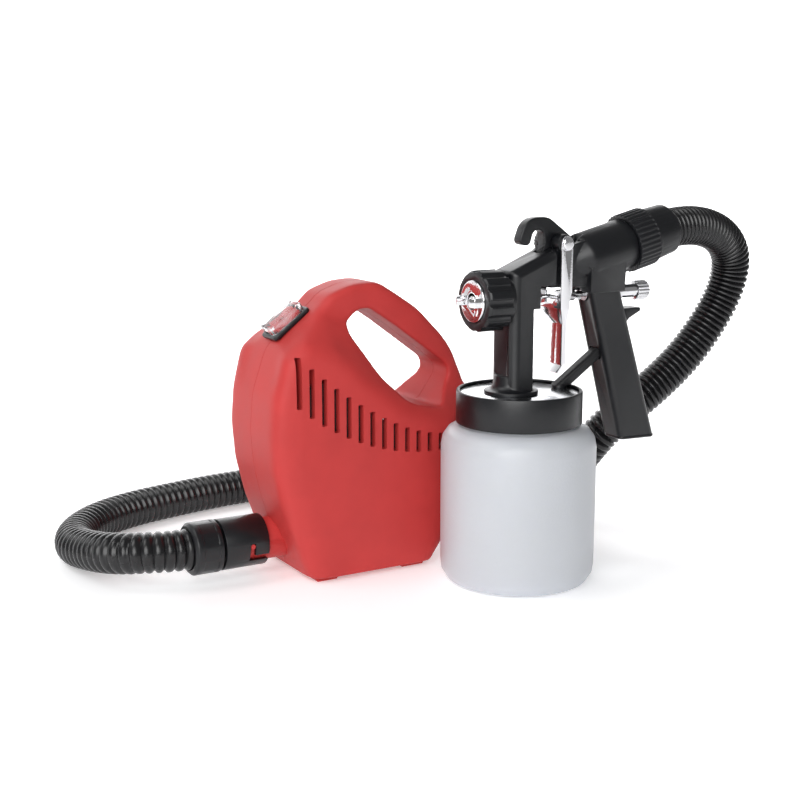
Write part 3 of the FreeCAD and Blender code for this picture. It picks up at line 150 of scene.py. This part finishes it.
def finish(name, colour, roughness, metallic=0.0, grain=0.35, depth=0.12, tone=0.05, gloss=0.12, patch=22,
           sockets=()):
    """A finish with a fine grain in its bump and slow changes of tone and gloss over the surface."""
    material = bpy.data.materials.new(name)
    material.use_nodes = True
    nodes, links = material.node_tree.nodes, material.node_tree.links
    shader = nodes["Principled BSDF"]
    place = nodes.new("ShaderNodeTexCoord")
    cloud = nodes.new("ShaderNodeTexNoise")
    cloud.inputs["Scale"].default_value = 1000 / patch
    cloud.inputs["Detail"].default_value = 5
    links.new(place.outputs["Object"], cloud.inputs["Vector"])
    tones = nodes.new("ShaderNodeValToRGB")
    for stop, share in zip(tones.color_ramp.elements, (1 - tone, 1 + tone)):
        stop.color = (*[min(c * share, 1) for c in colour], 1)
    tones.color_ramp.elements[0].position = 0.3
    tones.color_ramp.elements[1].position = 0.7
    links.new(cloud.outputs["Fac"], tones.inputs["Fac"])
    links.new(tones.outputs["Color"], shader.inputs["Base Color"])
    sheen = nodes.new("ShaderNodeMapRange")
    sheen.inputs["To Min"].default_value = roughness * (1 - gloss)
    sheen.inputs["To Max"].default_value = roughness * (1 + gloss)
    links.new(cloud.outputs["Fac"], sheen.inputs["Value"])
    links.new(sheen.outputs["Result"], shader.inputs["Roughness"])
    speck = nodes.new("ShaderNodeTexNoise")
    speck.inputs["Scale"].default_value = 1000 / grain
    speck.inputs["Detail"].default_value = 2
    links.new(place.outputs["Object"], speck.inputs["Vector"])
    bump = nodes.new("ShaderNodeBump")
    bump.inputs["Strength"].default_value = depth
    bump.inputs["Distance"].default_value = grain * MM
    links.new(speck.outputs["Fac"], bump.inputs["Height"])
    links.new(bump.outputs["Normal"], shader.inputs["Normal"])
    shader.inputs["Metallic"].default_value = metallic
    for socket, setting in dict(sockets).items():
        shader.inputs[socket].default_value = setting
    return material


def dress(piece, material):
    piece.data.materials.clear()
    piece.data.materials.append(material)
    return piece


red_moulding = finish("satin_red_moulding", (0.49, 0.040, 0.038), 0.5, grain=0.5, depth=0.10, tone=0.05,
                      sockets={"Specular IOR Level": 0.28})

# Outlines of the near side: the flat face, its eased ridge, the crown and the core, each from below and from above.
low_side = [(2, 60), (-12, 32), (-40, -5), (-80, -5), (-123, -5), (-134, 25), (-143, 50), (-149, 75), (-151, 100),
            (-149, 124)]
low_ridge = [(0.5, 61), (-13.5, 34), (-41, -5), (-80, -5), (-119, -5), (-130, 25), (-138.5, 50), (-144.5, 75),
             (-146.5, 100), (-145, 124)]
low_face = [(-4, 62), (-18, 37), (-44, -5), (-80, -5), (-112, -5), (-121, 25), (-128, 50), (-133, 75), (-134.5, 100),
            (-136, 124)]
core_top = [(-139.5, 152), (-122, 167), (-107, 176), (-80, 166), (-60, 147), (-30, 127), (10, 117)]
crown_top = [(-142, 150), (-126, 162), (-108, 162), (-81, 143), (-60, 124), (-30, 110), (8, 105)]
ridge_top = [(-140, 148), (-128, 158), (-109, 155), (-84, 134), (-61, 117), (-31, 102), (6.5, 98)]
face_top = [(-135, 144), (-126, 152), (-109, 148), (-85, 127), (-62, 109), (-32, 96), (0, 90)]
near_levels = [(-half_width, low_face + face_top), (2.4 - half_width, low_ridge + ridge_top),
               (-crown_depth, low_side + crown_top), (-core_depth, low_side + core_top)]
far_levels = [(-depth, outline) for depth, outline in reversed(near_levels)]
shell = through("turbine_box", near_levels + far_levels)
core_outline = rounded([(-123, -5), (-34, -5), (-12, 32, 30), (2, 60, 50), (5, 92, 60), (3, 121, 30),
                        (-9, 148.5, 50), (-35, 175, 60), (-65, 194, 16), (-84, 193, 30), (-101, 187, 12),
                        (-107, 180.5, 14), (-137, 155.5, 20), (-146, 134, 70), (-150.5, 112, 160), (-150.5, 84, 160),
                        (-145.5, 58, 160), (-137, 32, 160)])
core = through("core", [(-core_depth, core_outline), (core_depth, core_outline)])
joined(shell, core)
applied(shell, "REMESH", mode="VOXEL", voxel_size=1.5 * MM)
applied(shell, "SMOOTH", factor=0.5, iterations=40)

# The right-hand end is rounded in plan, and the smoothed form is trimmed flat below and at its sides.
bpy.ops.mesh.primitive_cube_add(size=1, location=(-97 * MM, box_middle * MM, 109 * MM))
envelope = bpy.context.object
bpy.ops.transform.resize(value=(211 * MM, 2 * half_width * MM + 0.0002, 212 * MM))
bpy.ops.object.transform_apply(location=True, rotation=True, scale=True)
edit(envelope, "EDGE", lambda e: all(v.co.x > 0 for v in e.verts) and abs(e.verts[0].co.z - e.verts[1].co.z) > 0.1)
bpy.ops.mesh.bevel(offset=end_corner * MM, segments=14)
done()
cut(shell, envelope, "INTERSECT")

# The hand's opening goes right through under the handle, and its rims are softened afterwards.
hand_outline = rounded([(-94, 166.5, 9), (-75.5, 179, 12), (-52, 163.5, 60), (-28, 146, 40), (-7.5, 131, 9),
                        (-24.5, 107.5, 5), (-50, 112.5, 30), (-72, 133, 60)])
cut(shell, through("hand_room", [(-60, hand_outline), (60, hand_outline)]))
applied(shell, "REMESH", mode="VOXEL", voxel_size=1.3 * MM)
applied(shell, "SMOOTH", factor=0.5, iterations=7)

# The feet are moulded on after the soft corners, so that they keep their edges.
for low, high in ((-120, -106), (-56, -40)):
    foot_outline = [(low - 3, 8), (low - 3, 4), (low, 0), (high, 0), (high + 3, 4), (high + 3, 8)]
    foot = through("foot", [(-34, foot_outline), (34, foot_outline)])
    cut(shell, foot, "UNION")

# The box is hollow behind the slots, where the foam filters lie against its wall.
wall_inside = 36
room_outline = [(-117, 13), (-40, 13), (-26, 36), (-16, 62), (-17, 84), (-34, 90), (-60, 100), (-82, 112),
                (-105, 130), (-120, 136), (-130, 128), (-134.5, 90), (-127, 49)]
cut(shell, through("inner_room", [(-wall_inside, room_outline), (wall_inside, room_outline)]))

# Thirteen upright air slots in each side follow two curves that close in towards the back.
slot_count = 13
slot_pitch = 8.75
first_slot = -134.5
slot_half = 1.9
slot_corner = 0.9
slot_tools = []
for k in range(slot_count):
    share = (slot_count - 1 - k) / (slot_count - 1)
    low_end, high_end = 80 + 38 * share ** 2.2, 92 + 59 * share ** 1.6
    across = first_slot + slot_pitch * k
    slot = rounded([(across + side * slot_half, height, slot_corner)
                    for side, height in ((-1, low_end), (1, low_end), (1, high_end), (-1, high_end))], steps=3)
    slot_tools.append(through("slot", [(-46, slot), (-22, slot)]))
    slot_tools.append(through("slot", [(22, slot), (46, slot)]))
cut(shell, joined(*slot_tools))

# The halves part along the middle, with a fine groove where they meet.
seam_gap = 0.12
seam_edge = 0.25
for label, side in (("near", -1), ("far", 1)):
    half = bpy.data.objects.new("box_" + label, shell.data.copy())
    bpy.context.scene.collection.objects.link(half)
    edit(half)
    seam = (box_middle + seam_gap * side) * MM
    bpy.ops.mesh.bisect(plane_co=(0, seam, 0), plane_no=(0, side, 0), use_fill=True, clear_inner=True)
    done()
    edit(half, "EDGE", lambda e: all(abs(v.co.y - seam) < 1e-6 for v in e.verts)
         and len(e.link_faces) == 2 and any(abs(f.normal.y) < 0.9 for f in e.link_faces))
    bpy.ops.mesh.bevel(offset=seam_edge * MM, segments=1, clamp_overlap=False)
    done()
    only(half)
    bpy.ops.object.shade_smooth_by_angle(angle=math.radians(35))
    dress(half, red_moulding)
    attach(half, "sprayer")
    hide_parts("housing_" + label)
bpy.data.objects.remove(shell)

# ---------------------------------------------------------------- screws, switch, outlet spigot, cord inlet
# The screws go in from the far side. The rocker sits in a black bezel under a clear cover against paint dust.
# The spigot is moulded in the box's red plastic and carries the lug that locks the hose.
bodies = frame["record"]["behaviour"]["bodies"]


def eased(node, material, width=0.4, angle=32, segments=2):
    """The node's own shape, merged, with its sharp edges eased, in its finish."""
    body = next(b for b, members in bodies.items() if node in members)
    piece = bpy.data.objects.new(node + "_finished", frame["nodes"][node].data.copy())
    bpy.context.scene.collection.objects.link(piece)
    edit(piece)
    bpy.ops.mesh.remove_doubles(threshold=2e-6)
    bpy.ops.mesh.dissolve_limited(angle_limit=math.radians(0.4))
    done()
    if width:
        applied(piece, "BEVEL", width=width * MM, segments=segments, limit_method="ANGLE",
                angle_limit=math.radians(angle), use_clamp_overlap=False, miter_outer="MITER_ARC")
    only(piece)
    bpy.ops.object.shade_smooth_by_angle(angle=math.radians(angle))
    dress(piece, material)
    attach(piece, body)
    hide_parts(node)
    return piece


def keep(node, material):
    """A CAD node that stays as it is and gets its finish."""
    dress(frame["nodes"][node], material)


black_moulding = finish("satin_black_moulding", (0.0045, 0.005, 0.0065), 0.34, grain=0.45, depth=0.14, tone=0.12)
gloss_red = finish("gloss_red_rocker", (0.55, 0.02, 0.02), 0.22, grain=0.8, depth=0.03)
turned_steel = finish("turned_steel", (0.56, 0.56, 0.57), 0.26, metallic=1.0, grain=0.25, depth=0.05)
clear_moulding = finish("clear_moulding", (0.97, 0.96, 0.97), 0.04, grain=1.5, depth=0.02, tone=0.01,
                        sockets={"Transmission Weight": 0.96, "IOR": 1.3})
rubber = finish("soft_rubber", (0.008, 0.008, 0.009), 0.55, grain=0.3, depth=0.2, tone=0.15)
keep("housing_screws", turned_steel)
keep("switch_axle", turned_steel)
eased("switch_bezel", black_moulding, 0.5)
eased("switch_rocker", gloss_red, 0.5)
eased("switch_cover", clear_moulding, 0)
eased("outlet_spigot", red_moulding, 0.3)
eased("cord_grommet", rubber, 0.4)

# ---------------------------------------------------------------- motor, fan and filters
# These stay out of sight in the box: a wound steel motor drives an aluminium fan through foam filters.
winding_black = finish("moulded_frame", (0.03, 0.03, 0.032), 0.5, grain=0.6, depth=0.1)
plain_steel = finish("rolled_steel", (0.42, 0.42, 0.44), 0.36, metallic=1.0, grain=0.3, depth=0.08)
pressed_aluminium = finish("pressed_aluminium", (0.78, 0.79, 0.81), 0.24, metallic=1.0, grain=0.5, depth=0.08,
                           tone=0.05, gloss=0.35, patch=9)
carbon = finish("pressed_carbon", (0.03, 0.03, 0.03), 0.7, grain=0.2, depth=0.2)
for node, material in (("motor_frame", winding_black), ("motor_bearings", turned_steel), ("motor_field", plain_steel),
                       ("fan_case", pressed_aluminium), ("diffuser", winding_black), ("impeller", pressed_aluminium),
                       ("armature", plain_steel), ("motor_brushes", carbon), ("motor_mounts", rubber)):
    keep(node, material)

# Two sheets of open-cell foam are pressed against the inner walls and close off every air slot.
foam = finish("open_cell_foam", (0.035, 0.012, 0.012), 0.95, grain=1.2, depth=0.9, tone=0.4)
sheet_outline = [(-133, 92), (-128.5, 126), (-119.5, 134), (-105.5, 128), (-82.5, 110.3), (-60.5, 98.3),
                 (-34.5, 88.5), (-19, 83), (-19, 75), (-45, 75), (-90, 86)]
sheet_outside, sheet_inside = 35.9, 32.9
sheets = joined(through("filter_sheets", [(-sheet_outside, sheet_outline), (-sheet_inside, sheet_outline)]),
                through("far_sheet", [(sheet_inside, sheet_outline), (sheet_outside, sheet_outline)]))
edit(sheets, "EDGE")
bpy.ops.mesh.bevel(offset=0.5 * MM, segments=2)
done()
bpy.ops.object.shade_smooth_by_angle(angle=math.radians(35))
dress(sheets, foam)
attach(sheets, "sprayer")
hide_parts("intake_filters")

# ---------------------------------------------------------------- air hose and its ends
# One corrugated plastic hose, 27 mm across, leaves the outlet, turns back along the floor and rises to the gun.
# Each end is screwed into a black moulded sleeve that locks on a spigot.
hose_route = [
    (-182, 89, 25), (-203, 89, 25), (-220.5, 93, 25.6), (-233.5, 103.5, 24), (-241, 120, 21), (-245, 142, 17.5),
    (-248.5, 169, 14), (-238, 198, 13.6), (-213.5, 224.5, 13.6), (-181.3, 241.4, 13.6), (-146, 250.7, 13.6),
    (-110.1, 258.6, 13.6), (-71.9, 261.6, 13.6), (-35.6, 254.6, 13.6), (-2.4, 237.9, 13.6), (26.5, 212.5, 13.6),
    (51.5, 182.3, 14.3), (71.6, 150.3, 18.1), (85.5, 117, 25.5), (93, 87, 37), (94, 61.5, 53), (97.5, 43, 75.5),
    (116, 35.4, 94.5), (141.4, 31, 111.9), (164.6, 26.6, 132.5), (181.5, 21.5, 156.7), (192.2, 17, 180),
    (192.6, 12.6, 203.5), (177, 8, 219.8), (151.2, 3.3, 227.9), (122, 0, 227.5), (105.3, 0, 223.3),
]
line = bpy.data.curves.new("hose_line", "CURVE")
line.dimensions = "3D"
line.resolution_u = 24
spline = line.splines.new("NURBS")
spline.points.add(len(hose_route) - 1)
for control, spot in zip(spline.points, hose_route):
    control.co = (*[c * MM for c in spot], 1)
spline.order_u = 3
spline.use_endpoint_u = True
guide = bpy.data.objects.new("hose_guide", line)
bpy.context.scene.collection.objects.link(guide)
bpy.context.view_layer.update()
followed = bpy.data.meshes.new_from_object(guide)
route = [v.co.copy() for v in followed.vertices]
bpy.data.objects.remove(guide)

travel = [0.0]
for last, here in zip(route, route[1:]):
    travel.append(travel[-1] + (here - last).length)
hose_length = travel[-1]
crest, groove, sides = 13.5, 11.7, 24    # radii of the corrugations, and the sides of each ring
first_pitch, pitch_loss = 6.1, 2.6


def along(distance):
    """The point and direction of the hose's line at a distance from its start."""
    distance = min(max(distance, 0), hose_length)
    k = next((i for i in range(1, len(travel)) if travel[i] >= distance), len(travel) - 1)
    share = (distance - travel[k - 1]) / max(travel[k] - travel[k - 1], 1e-9)
    return route[k - 1].lerp(route[k], share), (route[k] - route[k - 1]).normalized()


# Each corrugation is a round crest and a narrower groove; the pitch shortens towards the gun.
rings = []
distance = 0.0
while distance < hose_length - 0.5 * MM:
    pitch = (first_pitch - pitch_loss * (distance / hose_length) ** 1.3) * MM
    for share, level in ((0, 0.0), (0.14, 0.35), (0.27, 0.86), (0.44, 1.0), (0.61, 1.0), (0.76, 0.86), (0.88, 0.35)):
        rings.append((distance + share * pitch, groove + (crest - groove) * level))
    distance += pitch
bpy.ops.mesh.primitive_circle_add(vertices=sides, radius=1, fill_type="NOTHING")
hose = bpy.context.object
hose.name = "corrugated_hose"
hose_mesh = bmesh.new()
upward = Vector((0, 0, 1))
last_ring = None
for distance, radius in rings:
    centre, forward = along(distance)
    upward = (upward - forward * upward.dot(forward)).normalized()
    sideways = forward.cross(upward)
    ring = [hose_mesh.verts.new(centre + (upward * math.cos(2 * math.pi * k / sides)
                                          + sideways * math.sin(2 * math.pi * k / sides)) * radius * MM)
            for k in range(sides)]
    if last_ring:
        for k in range(sides):
            hose_mesh.faces.new((last_ring[k], last_ring[(k + 1) % sides], ring[(k + 1) % sides], ring[k]))
    else:
        hose_mesh.faces.new(ring)
    last_ring = ring
hose_mesh.faces.new(last_ring)
bmesh.ops.recalc_face_normals(hose_mesh, faces=hose_mesh.faces)
hose_mesh.to_mesh(hose.data)
hose_mesh.free()
only(hose)
bpy.ops.object.shade_smooth_by_angle(angle=math.radians(60))
hose_plastic = finish("hose_plastic", (0.005, 0.005, 0.0058), 0.27, grain=0.6, depth=0.08, tone=0.15, gloss=0.25)
dress(hose, hose_plastic)
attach(hose, "sprayer")
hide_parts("hose")
for node in ("turbine_lock_sleeve", "turbine_hose_nut", "gun_hose_sleeve", "gun_lock_collar"):
    eased(node, black_moulding, 0.35)

# ---------------------------------------------------------------- cup
# Blow-moulded milky cup that holds the paint; its rounded shoulder runs up to a threaded neck.
cup_profile = [(0.01, 1.6), (30, 1.6), (33, 0), (40, 0), (46.5, 2.0), (50, 7.5), (50.7, 14), (50.7, 90), (49.6, 96),
               (46.2, 101), (41.5, 103.2), (38.4, 104), (37.4, 105.5), (37.4, 121), (35.6, 121), (35.6, 104.5),
               (37.4, 102.6), (40.9, 101.4), (45, 99.3), (48, 95.2), (48.9, 90), (48.9, 14), (48, 8.5), (45, 4.2),
               (40, 2.2), (33, 2.0), (30, 3.4), (0.01, 3.4)]


def lathe(name, profile, steps=96):
    """Spin a half section in millimetres, radius and height, round the upright axis."""
    bpy.ops.mesh.primitive_circle_add(vertices=len(profile), fill_type="NOTHING")
    piece = bpy.context.object
    piece.name = name
    for vertex, (radius, height) in zip(piece.data.vertices, profile):
        vertex.co = (radius * MM, 0, height * MM)
    edit(piece, "VERT")
    bpy.ops.mesh.spin(steps=steps, angle=2 * math.pi, center=(0, 0, 0), axis=(0, 0, 1), use_auto_merge=False)
    bpy.ops.mesh.select_all(action="SELECT")
    bpy.ops.mesh.remove_doubles(threshold=2e-5)
    bpy.ops.mesh.normals_make_consistent(inside=False)
    done()
    return piece


cup = lathe("milky_cup", cup_profile)
applied(cup, "BEVEL", width=0.5 * MM, segments=2, limit_method="ANGLE", angle_limit=math.radians(40))
only(cup)
bpy.ops.object.shade_smooth_by_angle(angle=math.radians(42))
milky = finish("milky_blown_plastic", (0.53, 0.55, 0.595), 0.36, grain=2.2, depth=0.06, tone=0.012, patch=45,
               sockets={"Subsurface Weight": 0.5, "Subsurface Radius": (0.012, 0.012, 0.014),
                        "Subsurface Scale": 0.6, "IOR": 1.5})
dress(cup, milky)
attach(cup, "sprayer")
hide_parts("cup")
keep("dip_tube", milky)

# ---------------------------------------------------------------- lid
# A bright pressed disc closes the cup on a flat gasket, and a black screw collar holds it down.
keep("lid_gasket", rubber)
bright_lid = finish("bright_pressed_lid", (0.56, 0.57, 0.59), 0.18, metallic=1.0, grain=0.6, depth=0.06, tone=0.04,
                    gloss=0.3, patch=9)
eased("lid_disc", bright_lid, 0.3)
eased("lid_collar", black_moulding, 0.8)

# ---------------------------------------------------------------- gun moulding
# One black glass-filled moulding: neck, head, air barrel and hollow pistol grip, closed below by a cap.
eased("gun_body", black_moulding, 0.5)
eased("grip_cap", black_moulding, 0.4)

# ---------------------------------------------------------------- nozzle, needle and flow knob
# The nozzle and needle are turned steel. A plated air cap with two horns is held by a knurled ring nut.
chrome = finish("bright_plating", (0.86, 0.86, 0.88), 0.07, metallic=1.0, grain=1.6, depth=0.03, tone=0.02, gloss=0.5,
                patch=12)
eased("fluid_nozzle", turned_steel, 0.15)
eased("air_cap", chrome, 0.4)
eased("nozzle_ring_nut", black_moulding, 0.45)
eased("packing_nut", turned_steel, 0.25)
keep("needle", turned_steel)
eased("cross_pin", turned_steel, 0.3)
keep("needle_spring", turned_steel)
eased("knob_bush", chrome, 0.35)
eased("flow_knob", chrome, 0.3)

# ---------------------------------------------------------------- trigger, pivot and hook
# A trigger of plated sheet swings on a pivot bolt, which also holds the flat hanging hook and its knurled nut.
eased("trigger", chrome, 0.3)
eased("trigger_pivot", chrome, 0.3)
keep("pivot_clip", turned_steel)
eased("hook", black_moulding, 0.4)
eased("hook_nut", black_moulding, 0.3)

# ---------------------------------------------------------------- pressure tube
# A short soft tube brings air pressure from the grip to a barb on the lid.
eased("pressure_barb", black_moulding, 0.2)
eased("pressure_tube", rubber, 0.3)

# ---------------------------------------------------------------- floor, light and camera
# A plain pale floor that curves up behind, under soft studio light.
bpy.ops.mesh.primitive_plane_add(size=1, location=(0, 0, 0))
floor = bpy.context.object
floor.name = "floor"
bpy.ops.transform.resize(value=(16, 9, 1))    # metres, well past the view's corners
bpy.ops.object.transform_apply(location=True, rotation=True, scale=True)
edit(floor, "EDGE", lambda e: all(v.co.y > 4 for v in e.verts))
bpy.ops.mesh.extrude_region_move(TRANSFORM_OT_translate={"value": (0, 0, 5)})
done()
edit(floor, "EDGE", lambda e: all(v.co.y > 4 and v.co.z < 0.1 for v in e.verts))
bpy.ops.mesh.bevel(offset=2.0, segments=16)
done()
only(floor)
bpy.ops.object.shade_smooth()
floor_paint = finish("pale_floor", (0.93, 0.93, 0.94), 0.7, grain=3, depth=0.01, tone=0.004, patch=400,
                     sockets={"Emission Color": (1, 1, 1, 1), "Emission Strength": 0.3})
dress(floor, floor_paint)

for name, place, aim, size, power in (
        ("key_light", (-1.4, -1.35, 1.0), (-0.05, 0.03, 0.1), 1.6, 31),
        ("front_light", (-0.6, -2.0, 0.9), (0, 0.03, 0.1), 0.8, 4),
        ("top_light", (-1.3, 0.3, 1.9), (0, 0.05, 0), 1.3, 13),
        ("backdrop_light", (1.3, 1.4, 2.8), (2.6, 4.3, 0.6), 3.2, 260)):
    lamp = bpy.data.lights.new(name, "AREA")
    lamp.shape = "DISK"
    lamp.size = size
    lamp.energy = power
    holder = bpy.data.objects.new(name, lamp)
    bpy.context.scene.collection.objects.link(holder)
    holder.location = place
    holder.rotation_euler = (Vector(aim) - Vector(place)).to_track_quat("-Z", "Y").to_euler()
world = bpy.data.worlds.new("studio")
world.use_nodes = True
world.node_tree.nodes["Background"].inputs["Color"].default_value = (1, 1, 1, 1)
world.node_tree.nodes["Background"].inputs["Strength"].default_value = 0.22
bpy.context.scene.world = world
bpy.context.scene.view_settings.view_transform = "Standard"

view = bpy.data.cameras.new("camera")
view.lens = 60.75
view.sensor_width = 36
camera = bpy.data.objects.new("camera", view)
bpy.context.scene.collection.objects.link(camera)
camera.location = (-0.4975, -0.7070, 0.2869)
camera.rotation_euler = (math.radians(79), 0, math.radians(-30))
bpy.context.scene.camera = camera
